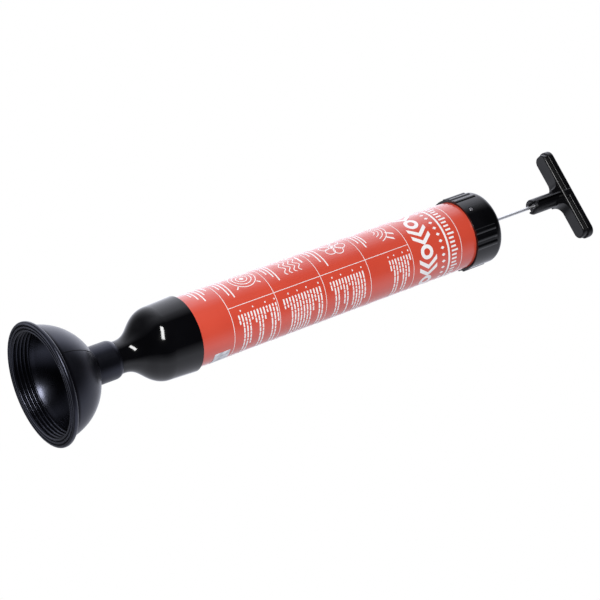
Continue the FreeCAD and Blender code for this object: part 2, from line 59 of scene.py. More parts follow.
# The photograph's camera, in the frame of the part, whose cup stands on the floor. The lens and its
# sensor are in millimetres
CAMERA_PLACE = Vector((0.421386, -1.696663, -0.768059))
VIEW_RIGHT = Vector((0.448485, -0.390680, 0.803885))
VIEW_UP = Vector((-0.870537, -0.394760, 0.293820))
VIEW_BACK = VIEW_RIGHT.cross(VIEW_UP)
CAMERA_LENS = 126.0
SENSOR_WIDTH = 36.0

# The lamps. A direction is seen from the part: right, up and towards the camera in the picture
KEY_DIRECTION = (0.01, 0.40, 0.92)
KEY_DISTANCE = 1.95
KEY_WIDTH = 0.40
KEY_HEIGHT = 1.32
KEY_POWER = 36.5
FILL_DIRECTION = (0.50, -0.50, 0.70)
FILL_DISTANCE = 1.6
FILL_SIZE = 1.2
FILL_POWER = 7.5

# The studio: a white wall and table in a dark room, brighter high up and darker on the left, but for a
# bright edge on the far left. A fade is the two cosines to a direction between which the light changes
WALL_DIRECTION = (-0.55, 0.55, -0.63)
WALL_FADE = (0.05, 0.50)
TABLE_DIRECTION = (0.0, -0.73, -0.69)
TABLE_FADE = (-0.12, 0.42)
UPPER_DIRECTION = (0.0, 0.60, -0.80)
UPPER_FADE = (0.5, 1.0)
LOW_STRENGTH = 0.70
HIGH_STRENGTH = 1.70
LEFT_FADE = (-0.75, -0.1)
LEFT_STRENGTH = 0.12
FAR_LEFT_FADE = (-0.90, -0.80)
FAR_LEFT_STRENGTH = 1.6
DARK_STRENGTH = 0.01
STUDIO_TINT = (0.97, 0.99, 1.10)

# The floor reaches far past the part and lies just under it
FLOOR_REACH = 4.0
FLOOR_GAP = 0.3 * MM
FLOOR_COLOUR = (0.86, 0.86, 0.86)
FLOOR_ROUGHNESS = 0.9

# Noise on the surfaces, with its scale for places in metres. A span is the part of the noise's range in
# use, and a spread is how far the roughness goes below and above its middle
NOISE_SPAN = (0.3, 0.7)
FINE_ROUGHNESS = 0.6
PATCH_SCALE = 26.0
PATCH_DETAIL = 4.0
PATCH_SPAN = (0.38, 0.68)
SMEAR_SCALE = 60.0
SMEAR_DETAIL = 5.0
SMEAR_SPREAD = (0.04, 0.05)
GRAIN_DETAIL = 3.0
GRAIN_STRENGTH = 0.35

# Lacquer: clouds in its colour, fine lines along the tube and a faint ripple
CLOUD_SCALE = 18.0
CLOUD_DETAIL = 3.0
CLOUD_SPAN = (0.35, 0.65)
LINE_SCALE = 700.0
LINE_DETAIL = 2.0
LINE_STRETCH = (1.0, 1.0, 0.03)
LINE_SHADE = 0.6
LACQUER_ROUGHNESS = (0.36, 0.46)
COAT_ROUGHNESS = 0.10
RIPPLE_SCALE = 240.0
RIPPLE_DETAIL = 2.0
RIPPLE_STRENGTH = 0.25
RIPPLE_DEPTH = 0.02 * MM

# Drawn steel: streaks along the rod
STREAK_SCALE = 900.0
STREAK_DETAIL = 2.0
STREAK_STRETCH = (1.0, 1.0, 0.02)
STREAK_SHADE = 0.82
STREAK_SPREAD = (0.06, 0.08)
STREAK_STRENGTH = 0.2
STREAK_DEPTH = 0.05 * MM

# The cup's rubber. What lies within the bowl's reach of the middle of the mouth is the inside, and it
# shines more above the rings that end at RINGS_END
BOWL_REACH = 53.4 * MM
BOWL_EDGE = 0.4 * MM
BOWL_ROUGHNESS = 0.27
BELL_ROUGHNESS = 0.31
RUBBER_SMEARS = (-0.03, 0.04)
RUBBER_GRAIN = 500.0
RUBBER_GRAIN_DEPTH = 0.003 * MM
RUBBER_COLOUR = (0.0008, 0.0008, 0.0012)
RUBBER_BLOOM = (0.0022, 0.0022, 0.0032)
RUBBER_SHEEN = (0.72, 0.76, 1.0)
# Gloss by how pointed the surface is: low in the grooves as painted shade, high on the ridges as painted
# highlights
RIDGE_SPAN = (0.475, 0.525)
GROOVE_SHADE_GLOSS = 0.10
RIDGE_HIGHLIGHT_GLOSS = 0.90
BOWL_GLOSS = 0.3
RINGS_END = 17.5 * MM
GLOSS_FADE = 3.0 * MM

# The print stands on the tube and reaches a little into it. Places on it are heights up the axis, and
# distances round the tube from a seam of the print. Angles are in degrees. Thin rings part the panels
TUBE_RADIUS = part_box("barrel_tube")[1].x
INK_RISE = 0.10 * MM
INK_SINK = 0.06 * MM
SEAM_ANGLE = -88.0
SEAM_TURNS = (0.0, 180.0)
PANEL_EDGES = (190.0 * MM, 242.9 * MM, 297.8 * MM, 352.5 * MM, 406.2 * MM)
LINE_WIDTH = 0.55 * MM
BAND_HEIGHT = 451.6 * MM
BAND_WIDTH = 2.2 * MM
LAST_RULE_HEIGHT = 468.1 * MM


# Helpers for objects and node trees


def add_object(name, data):
    made = bpy.data.objects.new(name, data)
    bpy.context.scene.collection.objects.link(made)
    return made


def add_mesh(name, points, faces, material):
    mesh = bpy.data.meshes.new(name)
    mesh.from_pydata(points, [], faces)
    mesh.validate()
    mesh.materials.append(material)
    return add_object(name, mesh)


def new_material(name):
    material = bpy.data.materials.new(name)
    material.use_nodes = True
    tree = material.node_tree
    return material, tree, tree.nodes["Principled BSDF"]


def feed(tree, value, socket):
    """Links another node's output to a socket, or gives the socket a plain value."""
    if isinstance(value, bpy.types.NodeSocket):
        tree.links.new(value, socket)
    else:
        socket.default_value = value


def object_coordinates(tree):
    return tree.nodes.new("ShaderNodeTexCoord").outputs["Object"]


def noise(tree, scale, detail, roughness=0.5, stretch=(1.0, 1.0, 1.0)):
    mapping = tree.nodes.new("ShaderNodeMapping")
    mapping.inputs["Scale"].default_value = stretch
    tree.links.new(object_coordinates(tree), mapping.inputs["Vector"])
    node = tree.nodes.new("ShaderNodeTexNoise")
    node.inputs["Scale"].default_value = scale
    node.inputs["Detail"].default_value = detail
    node.inputs["Roughness"].default_value = roughness
    tree.links.new(mapping.outputs["Vector"], node.inputs["Vector"])
    return node.outputs["Fac"]


def ramp(tree, value, span, low_value=0.0, high_value=1.0):
    """Maps value from the span's two ends to low_value and high_value, clamped."""
    node = tree.nodes.new("ShaderNodeMapRange")
    node.inputs["From Min"].default_value = span[0]
    node.inputs["From Max"].default_value = span[1]
    node.inputs["To Min"].default_value = low_value
    node.inputs["To Max"].default_value = high_value
    tree.links.new(value, node.inputs["Value"])
    return node.outputs["Result"]


def maths(tree, operation, first, second):
    node = tree.nodes.new("ShaderNodeMath")
    node.operation = operation
    feed(tree, first, node.inputs[0])
    feed(tree, second, node.inputs[1])
    return node.outputs[0]


def dot(tree, vector, direction):
    node = tree.nodes.new("ShaderNodeVectorMath")
    node.operation = "DOT_PRODUCT"
    tree.links.new(vector, node.inputs[0])
    node.inputs[1].default_value = direction
    return node.outputs["Value"]


# Where a mix node has its first value, its second value and its result, by the kind of value
MIX_SOCKETS = {"FLOAT": (2, 3, 0), "RGBA": (6, 7, 2)}


def mix(tree, kind, factor, first, second):
    """Goes from first to second while factor goes from 0 to 1."""
    first_socket, second_socket, result = MIX_SOCKETS[kind]
    node = tree.nodes.new("ShaderNodeMix")
    node.data_type = kind
    tree.links.new(factor, node.inputs[0])
    feed(tree, first, node.inputs[first_socket])
    feed(tree, second, node.inputs[second_socket])
    return node.outputs[result]


def colour_mix(tree, factor, first, second):
    return mix(tree, "RGBA", factor, (*first, 1.0), (*second, 1.0))


def bump(tree, shader, height, strength, distance):
    node = tree.nodes.new("ShaderNodeBump")
    node.inputs["Strength"].default_value = strength
    node.inputs["Distance"].default_value = distance
    tree.links.new(height, node.inputs["Height"])
    tree.links.new(node.outputs["Normal"], shader.inputs["Normal"])


def colour_patches(tree, shader, colour, worn, scale=PATCH_SCALE):
    """A base colour that turns into a worn one in soft patches."""
    patches = ramp(tree, noise(tree, scale, PATCH_DETAIL), PATCH_SPAN)
    tree.links.new(colour_mix(tree, patches, colour, worn), shader.inputs["Base Color"])


def smears(tree, low, high):
    """Soft smears between two values."""
    return ramp(tree, noise(tree, SMEAR_SCALE, SMEAR_DETAIL, FINE_ROUGHNESS), NOISE_SPAN, low, high)


def fine_grain(tree, shader, scale, depth):
    bump(tree, shader, noise(tree, scale, GRAIN_DETAIL, FINE_ROUGHNESS), GRAIN_STRENGTH, depth)


# The kinds of surface


def moulded(name, colour, worn, roughness, grain, grain_depth, specular=0.5, patch_scale=PATCH_SCALE):
    """A moulded plastic or rubber: uneven colour, uneven gloss and a fine grain."""
    material, tree, shader = new_material(name)
    colour_patches(tree, shader, colour, worn, patch_scale)
    gloss = smears(tree, roughness - SMEAR_SPREAD[0], roughness + SMEAR_SPREAD[1])
    tree.links.new(gloss, shader.inputs["Roughness"])
    shader.inputs["Specular IOR Level"].default_value = specular
    fine_grain(tree, shader, grain, grain_depth)
    return material


def lacquered(name, colour, deep):
    """A clear gloss over colour, with a faint ripple and fine lines along the tube."""
    material, tree, shader = new_material(name)
    cloud = ramp(tree, noise(tree, CLOUD_SCALE, CLOUD_DETAIL), CLOUD_SPAN)
    lines = noise(tree, LINE_SCALE, LINE_DETAIL, stretch=LINE_STRETCH)
    shade = maths(tree, "MULTIPLY", cloud, ramp(tree, lines, NOISE_SPAN, LINE_SHADE, 1.0))
    tree.links.new(colour_mix(tree, shade, colour, deep), shader.inputs["Base Color"])
    tree.links.new(ramp(tree, lines, NOISE_SPAN, *LACQUER_ROUGHNESS), shader.inputs["Roughness"])
    shader.inputs["Coat Weight"].default_value = 1.0
    shader.inputs["Coat Roughness"].default_value = COAT_ROUGHNESS
    bump(tree, shader, noise(tree, RIPPLE_SCALE, RIPPLE_DETAIL), RIPPLE_STRENGTH, RIPPLE_DEPTH)
    return material


def drawn_steel(name, colour, roughness):
    """Steel with fine lines along the rod's length."""
    material, tree, shader = new_material(name)
    streaks = noise(tree, STREAK_SCALE, STREAK_DETAIL, stretch=STREAK_STRETCH)
    darker = tuple(STREAK_SHADE * channel for channel in colour)
    shade = colour_mix(tree, ramp(tree, streaks, NOISE_SPAN), darker, colour)
    gloss = ramp(tree, streaks, NOISE_SPAN, roughness - STREAK_SPREAD[0], roughness + STREAK_SPREAD[1])
    tree.links.new(shade, shader.inputs["Base Color"])
    tree.links.new(gloss, shader.inputs["Roughness"])
    shader.inputs["Metallic"].default_value = 1.0
    bump(tree, shader, streaks, STREAK_STRENGTH, STREAK_DEPTH)
    return material


# One material for each finish of the pieces


def cup_rubber():
    """Black rubber with a bluish gloss, turned down in the grooves as painted shade and up on the ridges
    as painted highlights, and smoothest in the bowl.
    """
    material, tree, shader = new_material("cup_rubber")
    colour_patches(tree, shader, RUBBER_COLOUR, RUBBER_BLOOM)
    length = tree.nodes.new("ShaderNodeVectorMath")
    length.operation = "LENGTH"
    tree.links.new(object_coordinates(tree), length.inputs[0])
    reach = length.outputs["Value"]
    bowl_edge = (BOWL_REACH - BOWL_EDGE, BOWL_REACH + BOWL_EDGE)
    side = ramp(tree, reach, bowl_edge, BOWL_ROUGHNESS, BELL_ROUGHNESS)
    tree.links.new(maths(tree, "ADD", side, smears(tree, *RUBBER_SMEARS)), shader.inputs["Roughness"])
    # Painted shade in the grooves and painted highlights on the ridges: the gloss follows how pointed the
    # surface is
    ridges = tree.nodes.new("ShaderNodeNewGeometry").outputs["Pointiness"]
    groove_shade_ridge_highlight = ramp(tree, ridges, RIDGE_SPAN, GROOVE_SHADE_GLOSS, RIDGE_HIGHLIGHT_GLOSS)
    inside = ramp(tree, reach, bowl_edge, BOWL_GLOSS, 0.0)
    height = dot(tree, object_coordinates(tree), Vector((0.0, 0.0, 1.0)))
    above_rings = ramp(tree, height, (RINGS_END, RINGS_END + GLOSS_FADE))
    shine = maths(tree, "ADD", groove_shade_ridge_highlight, maths(tree, "MULTIPLY", inside, above_rings))
    tree.links.new(shine, shader.inputs["Specular IOR Level"])
    shader.inputs["Specular Tint"].default_value = (*RUBBER_SHEEN, 1.0)
    fine_grain(tree, shader, RUBBER_GRAIN, RUBBER_GRAIN_DEPTH)
    return material


def parting_rubber():
    """The duller rubber of the mould's parting lines."""
    return moulded(
        "parting_rubber", colour=(0.0012, 0.0012, 0.0014), worn=(0.002, 0.002, 0.002),
        roughness=0.7, grain=500.0, grain_depth=0.004 * MM, specular=0.1,
    )


def nozzle_gloss():
    """Polished black plastic."""
    return moulded(
        "nozzle_gloss", colour=(0.0015, 0.0015, 0.0020), worn=(0.0025, 0.0025, 0.0032),
        roughness=0.09, grain=200.0, grain_depth=0.002 * MM,
    )


def barrel_red():
    """The barrel's red under a clear gloss."""
    return lacquered("barrel_red", colour=(0.66, 0.071, 0.037), deep=(0.61, 0.059, 0.031))


def print_ink():
    """White ink under the same gloss as the red."""
    return lacquered("print_ink", colour=(0.92, 0.91, 0.91), deep=(0.88, 0.87, 0.87))


def label_film():
    """A small pale film, mottled with grey."""
    return moulded(
        "label_film", colour=(0.46, 0.47, 0.51), worn=(0.86, 0.87, 0.90),
        roughness=0.35, grain=400.0, grain_depth=0.03 * MM, patch_scale=190.0,
    )


def cap_satin():
    """Black plastic between gloss and satin."""
    return moulded(
        "cap_satin", colour=(0.0015, 0.0015, 0.0020), worn=(0.004, 0.004, 0.005),
        roughness=0.17, grain=400.0, grain_depth=0.003 * MM,
    )


def handle_satin():
    """Satin black plastic."""
    return moulded(
        "handle_satin", colour=(0.0010, 0.0010, 0.0015), worn=(0.0022, 0.0022, 0.0030),
        roughness=0.31, grain=300.0, grain_depth=0.002 * MM,
    )


def seal_rubber():
    """Matte black rubber of the seals and gaskets."""
    return moulded(
        "seal_rubber", colour=(0.015, 0.015, 0.015), worn=(0.022, 0.022, 0.022),
        roughness=0.5, grain=900.0, grain_depth=0.03 * MM,
    )


def piston_acetal():
    """Off-white plastic of the piston."""
    return moulded(
        "piston_acetal", colour=(0.62, 0.62, 0.57), worn=(0.68, 0.68, 0.63),
        roughness=0.4, grain=500.0, grain_depth=0.02 * MM,
    )


def guide_plastic():
    """Sand-coloured plastic of the bearings."""
    return moulded(
        "guide_plastic", colour=(0.55, 0.50, 0.36), worn=(0.6, 0.55, 0.4),
        roughness=0.45, grain=500.0, grain_depth=0.02 * MM,
    )


def rod_steel():
    """The rod's bright steel."""
    return drawn_steel("rod_steel", colour=(0.95, 0.96, 0.99), roughness=0.52)


def screw_steel():
    """Zinc-plated steel of the nuts, washers and rings inside."""
    return drawn_steel("screw_steel", colour=(0.3, 0.3, 0.31), roughness=0.3)


def dark_screw_steel():
    """Steel of the cap's two screws."""
    return drawn_steel("dark_screw_steel", colour=(0.42, 0.41, 0.42), roughness=0.34)


SEALS = ("nozzle_gasket", "cap_gasket", "rod_wiper", "rear_bumper", "front_piston_cup", "rear_piston_cup")
SMALL_STEEL = ("wiper_retainer", "front_washer", "rear_washer", "piston_nut", "jam_nut", "handle_insert")


def give(material, *node_names):
    """Makes this material the only one of these nodes."""
    for name in node_names:
        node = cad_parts[name]
        node.data.materials.clear()
        node.data.materials.append(material)


def finish_nodes():
    """Gives every node the material of its finish."""
    give(cup_rubber(), "suction_cup")
    give(nozzle_gloss(), "nozzle")
    give(barrel_red(), "barrel_tube")
    give(cap_satin(), "rear_cap")
    give(handle_satin(), "handle_grip")
    give(seal_rubber(), *SEALS)
    give(piston_acetal(), "piston_body")
    give(guide_plastic(), "rod_bush", "piston_wear_ring")
    give(rod_steel(), "piston_rod")
    give(dark_screw_steel(), "cap_screws")
    give(screw_steel(), *SMALL_STEEL)


# The camera, the lamps, the studio and the floor


def photo_direction(right, up, back):
    return (right * VIEW_RIGHT + up * VIEW_UP + back * VIEW_BACK).normalized()


def placed(place, right, up, back):
    """The matrix of a camera or lamp that looks against back."""
    return Matrix.Translation(place) @ Matrix((right, up, back)).transposed().to_4x4()


def add_camera():
    data = bpy.data.cameras.new("camera")
    data.lens = CAMERA_LENS
    data.sensor_width = SENSOR_WIDTH
    camera = add_object("camera", data)
    camera.matrix_world = placed(CAMERA_PLACE, VIEW_RIGHT, VIEW_UP, VIEW_BACK)
    bpy.context.scene.camera = camera


def softbox(name, direction, distance, width, height, power):
    """A rectangular lamp that faces the middle of the part, with its height up the picture."""
    data = bpy.data.lights.new(name, "AREA")
    data.shape = "RECTANGLE"
    data.size = width
    data.size_y = height
    data.energy = power
    lamp = add_object(name, data)
    back = photo_direction(*direction)
    right = VIEW_UP.cross(back).normalized()
    middle = (cad_box[0] + cad_box[1]) / 2
    lamp.matrix_world = placed(middle + distance * back, right, back.cross(right), back)
    lamp.visible_camera = False
    return lamp


def add_lamps():
    """A narrow strip above the camera, and a broad weak fill that no gloss mirrors."""
    softbox("key_light", KEY_DIRECTION, KEY_DISTANCE, KEY_WIDTH, KEY_HEIGHT, KEY_POWER)
    fill = softbox("fill_light", FILL_DIRECTION, FILL_DISTANCE, FILL_SIZE, FILL_SIZE, FILL_POWER)
    fill.visible_glossy = False


def studio_strength(tree, direction):
    """How bright the studio is in a direction: the wall and table, darker to the left, and the room."""
    wall = ramp(tree, dot(tree, direction, photo_direction(*WALL_DIRECTION)), WALL_FADE)
    table = ramp(tree, dot(tree, direction, photo_direction(*TABLE_DIRECTION)), TABLE_FADE)
    upper = dot(tree, direction, photo_direction(*UPPER_DIRECTION))
    level = ramp(tree, upper, UPPER_FADE, LOW_STRENGTH, HIGH_STRENGTH)
    sweep = maths(tree, "MULTIPLY", maths(tree, "MAXIMUM", wall, table), level)
    across = dot(tree, direction, VIEW_RIGHT)
    left = ramp(tree, across, LEFT_FADE, LEFT_STRENGTH, 1.0)
    far_left = ramp(tree, across, FAR_LEFT_FADE, FAR_LEFT_STRENGTH, 0.0)
    lit = maths(tree, "MULTIPLY", sweep, maths(tree, "MAXIMUM", left, far_left))
    return maths(tree, "ADD", lit, DARK_STRENGTH)


def add_studio():
    """The studio as surfaces mirror it, which the camera sees as plain white."""
    world = bpy.data.worlds.new("studio")
    bpy.context.scene.world = world
    world.use_nodes = True
    tree = world.node_tree
    direction = tree.nodes.new("ShaderNodeTexCoord").outputs["Generated"]
    path = tree.nodes.new("ShaderNodeLightPath")
    seen = maths(tree, "MAXIMUM", path.outputs["Is Camera Ray"], path.outputs["Is Transmission Ray"])
    strength = mix(tree, "FLOAT", seen, studio_strength(tree, direction), 1.0)
    background = tree.nodes["Background"]
    tree.links.new(colour_mix(tree, seen, STUDIO_TINT, WHITE), background.inputs["Color"])
    tree.links.new(strength, background.inputs["Strength"])


def floor_material():
    """Pale from above and clear from below."""
    material, tree, shader = new_material("floor")
    shader.inputs["Base Color"].default_value = (*FLOOR_COLOUR, 1.0)
    shader.inputs["Roughness"].default_value = FLOOR_ROUGHNESS
    underside = tree.nodes.new("ShaderNodeNewGeometry").outputs["Backfacing"]
    clear = tree.nodes.new("ShaderNodeBsdfTransparent")
    either = tree.nodes.new("ShaderNodeMixShader")
    tree.links.new(underside, either.inputs[0])
    tree.links.new(shader.outputs[0], either.inputs[1])
    tree.links.new(clear.outputs[0], either.inputs[2])
    tree.links.new(either.outputs[0], tree.nodes["Material Output"].inputs["Surface"])
    return material


def add_floor():
    """A floor that can be seen through from below, because the photograph looks up at the cup's mouth."""
    level = cad_box[0].z - FLOOR_GAP
    quarters = ((-1, -1), (1, -1), (1, 1), (-1, 1))
    corners = [(FLOOR_REACH * right, FLOOR_REACH * back, level) for right, back in quarters]
    floor = add_mesh("floor", corners, [(0, 1, 2, 3)], floor_material())
    floor.visible_diffuse = False
    floor.visible_glossy = False
    floor.visible_shadow = False


# Print on the barrel: a flat drawing in metres, laid round the tube as thin closed slabs of ink

# How finely the forms are cut up, and the angle past which an edge of the ink stays sharp
BLOCK_STEP = 2.0 * MM
SLANT_STEPS = 4
ARC_STEP = 10.0
FEWEST_ARC_STEPS = 8
DISC_ROWS = 8
DISC_COLUMNS = 6
DISC_END = 85.0
RING_STEPS = 144
SHARP_ANGLE = 40.0

# A ribbon whose ends are this close is a loop, and a sharp corner takes it to twice its width at most
CLOSED_GAP = 0.01 * MM
MITRE_LIMIT = 0.5


class Ink:
    """Collects slabs of ink. Points are (across, height): the way round from a seam, and up."""

    def __init__(self, rise=INK_RISE):
        self.turn = 0.0
        self.rise = rise
        self.points = []
        self.faces = []

    def on_tube(self, across, height, rise):
        """A flat point laid on the tube, raised above its surface or sunk into it."""
        radius = TUBE_RADIUS + rise
        angle = math.radians(SEAM_ANGLE + self.turn) + across / TUBE_RADIUS
        return Vector((radius * math.cos(angle), radius * math.sin(angle), height))

    def grid(self, rows):
        """A slab between rows of flat points, closed all round. Side 0 faces out and side 1 faces in."""
        columns = len(rows[0])
        start = len(self.points)
        for rise in (self.rise, -INK_SINK):
            for row in rows:
                self.points += [self.on_tube(across, height, rise) for across, height in row]
        layer = columns * len(rows)

        def at(side, row, column):
            return start + side * layer + row * columns + column

        last_row, last_column = len(rows) - 1, columns - 1
        for row in range(last_row):
            for column in range(last_column):
                corners = [(row, column), (row, column + 1), (row + 1, column + 1), (row + 1, column)]
                self.faces.append([at(0, *corner) for corner in corners])
                self.faces.append([at(1, *corner) for corner in reversed(corners)])
        border = [(0, column) for column in range(last_column)]
        border += [(row, last_column) for row in range(last_row)]
        border += [(last_row, column) for column in range(last_column, 0, -1)]
        border += [(row, 0) for row in range(last_row, 0, -1)]
        for here, there in zip(border, border[1:] + border[:1]):
            self.faces.append([at(0, *there), at(0, *here), at(1, *here), at(1, *there)])

    def ring(self, low, high):
        """A line all round the tube."""
        section = ((self.rise, low), (self.rise, high), (-INK_SINK, high), (-INK_SINK, low))
        circle = 2 * math.pi * TUBE_RADIUS
        start = len(self.points)
        for rise, height in section:
            for step in range(RING_STEPS):
                self.points.append(self.on_tube(circle * step / RING_STEPS, height, rise))
        for line in range(len(section)):
            this = start + line * RING_STEPS
            other = start + (line + 1) % len(section) * RING_STEPS
            for here in range(RING_STEPS):
                ahead = (here + 1) % RING_STEPS
                self.faces.append([this + here, this + ahead, other + ahead, other + here])

    def block(self, first, last, low, high):
        """A plain block between two places round the tube and two heights."""
        steps = max(1, math.ceil(abs(last - first) / BLOCK_STEP))
        places = [first + (last - first) * step / steps for step in range(steps + 1)]
        self.grid([[(place, height) for place in places] for height in (low, high)])

    def slanted(self, first, width, low, high, lean):
        """A leaning bar, whose top stands further round by lean."""
        rows = []
        for step in range(SLANT_STEPS + 1):
            share = step / SLANT_STEPS
            start = first + lean * share
            height = low + (high - low) * share
            rows.append([(start, height), (start + width / 2, height), (start + width, height)])
        self.grid(rows)

    def stroke(self, path, width):
        """A ribbon of even width along flat points, closed into a loop if its ends meet."""
        flat = [Vector(point) for point in path]
        loop = (flat[0] - flat[-1]).length < CLOSED_GAP
        before = [flat[-2] if loop else None] + flat[:-1]
        after = flat[1:] + [flat[1] if loop else None]
        left, right = [], []
        for point, past, coming in zip(flat, before, after):
            ahead = (point - past if coming is None else coming - point).normalized()
            behind = ahead if past is None else (point - past).normalized()
            along = (ahead + behind).normalized()
            side = Vector((-along.y, along.x))
            square = max(MITRE_LIMIT, side.dot(Vector((-ahead.y, ahead.x))))
            left.append(point + side * (width / 2 / square))
            right.append(point - side * (width / 2 / square))
        self.grid([right, left])

    def arc(self, across, height, radius, width, start=0.0, sweep=360.0):
        """A ring, or a part of one."""
        steps = max(FEWEST_ARC_STEPS, int(sweep / ARC_STEP))
        points = []
        for step in range(steps + 1):
            turn = math.radians(start + sweep * step / steps)
            points.append((across + radius * math.cos(turn), height + radius * math.sin(turn)))
        self.stroke(points, width)

    def disc(self, across, height, radius):
        """A solid dot, as rows of points that follow its round outline."""
        rows = []
        for row in range(DISC_ROWS + 1):
            turn = math.radians(DISC_END * (2 * row / DISC_ROWS - 1))
            half = radius * math.cos(turn)
            level = height + radius * math.sin(turn)
            shares = [2 * column / DISC_COLUMNS - 1 for column in range(DISC_COLUMNS + 1)]
            rows.append([(across + half * share, level) for share in shares])
        self.grid(rows)

    def add_piece(self, name, material):
        """One piece of all the ink so far, which moves with the barrel."""
        piece = add_mesh(name, self.points, self.faces, material)
        piece.data.shade_smooth()
        piece.data.set_sharp_from_angle(angle=math.radians(SHARP_ANGLE))
        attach(piece, "barrel")


def print_rules(material):
    """The thin rings between the panels, the band near the cap and the seam lines."""
    ink = Ink()
    half = LINE_WIDTH / 2
    for height in PANEL_EDGES + (LAST_RULE_HEIGHT,):
        ink.ring(height - half, height + half)
    ink.ring(BAND_HEIGHT - BAND_WIDTH / 2, BAND_HEIGHT + BAND_WIDTH / 2)
    for turn in SEAM_TURNS:
        ink.turn = turn
        for low, high in zip(PANEL_EDGES, PANEL_EDGES[1:]):
            ink.block(-half, half, low + half, high - half)
    ink.add_piece("print_rules", material)


# Rows of dashes under a seam. Each set has, in mm, how far along its panel it begins and its rows' lengths
ROW_PITCH = 3.55 * MM
ROW_WIDTH = 1.55 * MM
ROW_START = 9.0 * MM
ROW_SETS = (
    (8.0, (9, 49, 50, 33, 8, 12, 48, 50, 12, 9, 49, 47, 20)),
    (7.0, (10, 12, 50, 49, 46, 50, 48, 50, 47, 24, 12, 50, 48)),
    (8.0, (9, 50, 48, 13, 27, 49, 11, 34, 50, 46, 50, 30)),
    (26.0, (11, 48, 49, 15, 38, 50, 26, 9)),
)
SHORTEST_DASH = 2.2 * MM
LONGEST_DASH = 7.4 * MM
DASH_GAP = 0.85 * MM
DASH_SEED = 11

# The rows of each set that begin with a small mark
MARKED_ROWS = ((1, 5, 9, 12), (2, 5, 8, 12), (1, 4, 8, 11), (0, 2, 5, 7))
MARK_START = 4.6 * MM
MARK_END = 6.2 * MM
MARK_WIDTH = 1.2 * MM


def draw_row(ink, chance, height, length):
    """Dashes of uneven lengths, with even gaps."""
    place = ROW_START
    end = ROW_START + length
    while place < end - SHORTEST_DASH:
        dash = min(chance.uniform(SHORTEST_DASH, LONGEST_DASH), end - place)
        ink.block(place, place + dash, height - ROW_WIDTH / 2, height + ROW_WIDTH / 2)
        place += dash + DASH_GAP


def print_rows(material):
    """Rows of dashes that run round the tube, some of them with a mark."""
    chance = random.Random(DASH_SEED)
    ink = Ink()
    for turn in SEAM_TURNS:
        ink.turn = turn
        for low, (inset, lengths), marked in zip(PANEL_EDGES, ROW_SETS, MARKED_ROWS):
            for row, length in enumerate(lengths):
                height = low + inset * MM + row * ROW_PITCH
                draw_row(ink, chance, height, length * MM)
                if row in marked:
                    ink.block(MARK_START, MARK_END, height - MARK_WIDTH / 2, height + MARK_WIDTH / 2)
    ink.add_piece("print_rows", material)


# Bars over a seam, in mm: how far along from the panel's edge, and the start and end round the tube
HEAD_BARS = (
    (-24.0, -52, -28), (-20.5, -48, -21), (-15.5, -50, -16), (-11.5, -42, -24), (-6.0, -50, -30),
)
PANEL_BARS = (
    ((5.0, -50, -24), (9.0, -48, -13), (13.0, -50, -9)),
    ((5.5, -50, -22), (9.5, -46, -16), (13.0, -50, -10)),
    ((5.0, -48, -26), (9.5, -50, -14), (14.0, -46, -7)),
    ((5.5, -50, -20), (9.5, -48, -12), (13.0, -44, -17)),
)
BAR_WIDTH = 1.3 * MM


def print_bars(material):
    """Solid bars at the start of each panel, and a few more on the bare end of the tube."""
    ink = Ink()
    for turn in SEAM_TURNS:
        ink.turn = turn
        for low, bars in zip(PANEL_EDGES[:1] + PANEL_EDGES, (HEAD_BARS,) + PANEL_BARS):
            for inset, first, last in bars:
                height = low + inset * MM
                ink.block(first * MM, last * MM, height - BAR_WIDTH / 2, height + BAR_WIDTH / 2)
    ink.add_piece("print_bars", material)


# One plain figure over the seam in each panel

FIGURE_ACROSS = -29.0 * MM
FIGURE_INSET = 34.0 * MM
FIGURE_LINE = 0.85 * MM

TARGET_RADII = (5.5 * MM, 9.5 * MM, 13.5 * MM)
TARGET_DOT = 2.2 * MM
RAY_ANGLES = (45, 135, 225, 315)
RAY_START = 15.0 * MM
RAY_END = 19.0 * MM
RAY_WIDTH = 1.3 * MM


def draw_target(ink, across, height):
    """Rings round a dot, with four short rays."""
    for radius in TARGET_RADII:
        ink.arc(across, height, radius, FIGURE_LINE)
    ink.disc(across, height, TARGET_DOT)
    middle = Vector((across, height))
    for angle in RAY_ANGLES:
        turn = math.radians(angle)
        reach = Vector((math.cos(turn), math.sin(turn)))
        ink.stroke([middle + RAY_START * reach, middle + RAY_END * reach], RAY_WIDTH)


WAVE_LEVELS = (-9.0 * MM, -3.5 * MM, 2.0 * MM, 7.5 * MM)
WAVE_SPAN = 32.0 * MM
WAVE_RISE = 2.0 * MM
WAVE_WIDTH = 0.9 * MM
WAVE_CRESTS = 3
WAVE_STEPS = 36
WAVE_BAR = (-6.0 * MM, 8.0 * MM, 12.5 * MM, 14.5 * MM)


def draw_waves(ink, across, height):
    """Four waves, one over the other, under a solid bar."""
    for level in WAVE_LEVELS:
        points = []
        for step in range(WAVE_STEPS + 1):
            share = step / WAVE_STEPS
            rise = WAVE_RISE * math.sin(share * math.tau * WAVE_CRESTS)
            points.append((across + (share - 0.5) * WAVE_SPAN, height + level + rise))
        ink.stroke(points, WAVE_WIDTH)
    first, last, low, high = WAVE_BAR
    ink.block(across + first, across + last, height + low, height + high)


PETALS = 6
PETAL_START = 15.0
PETAL_REACH = 8.5 * MM
PETAL_RADIUS = 5.0 * MM
PETAL_DOT = 2.0 * MM


def draw_petals(ink, across, height):
    """Six loops about a dot."""
    for petal in range(PETALS):
        turn = math.radians(PETAL_START + 360.0 / PETALS * petal)
        middle = Vector((across, height)) + PETAL_REACH * Vector((math.cos(turn), math.sin(turn)))
        ink.arc(middle.x, middle.y, PETAL_RADIUS, FIGURE_LINE)
    ink.disc(across, height, PETAL_DOT)


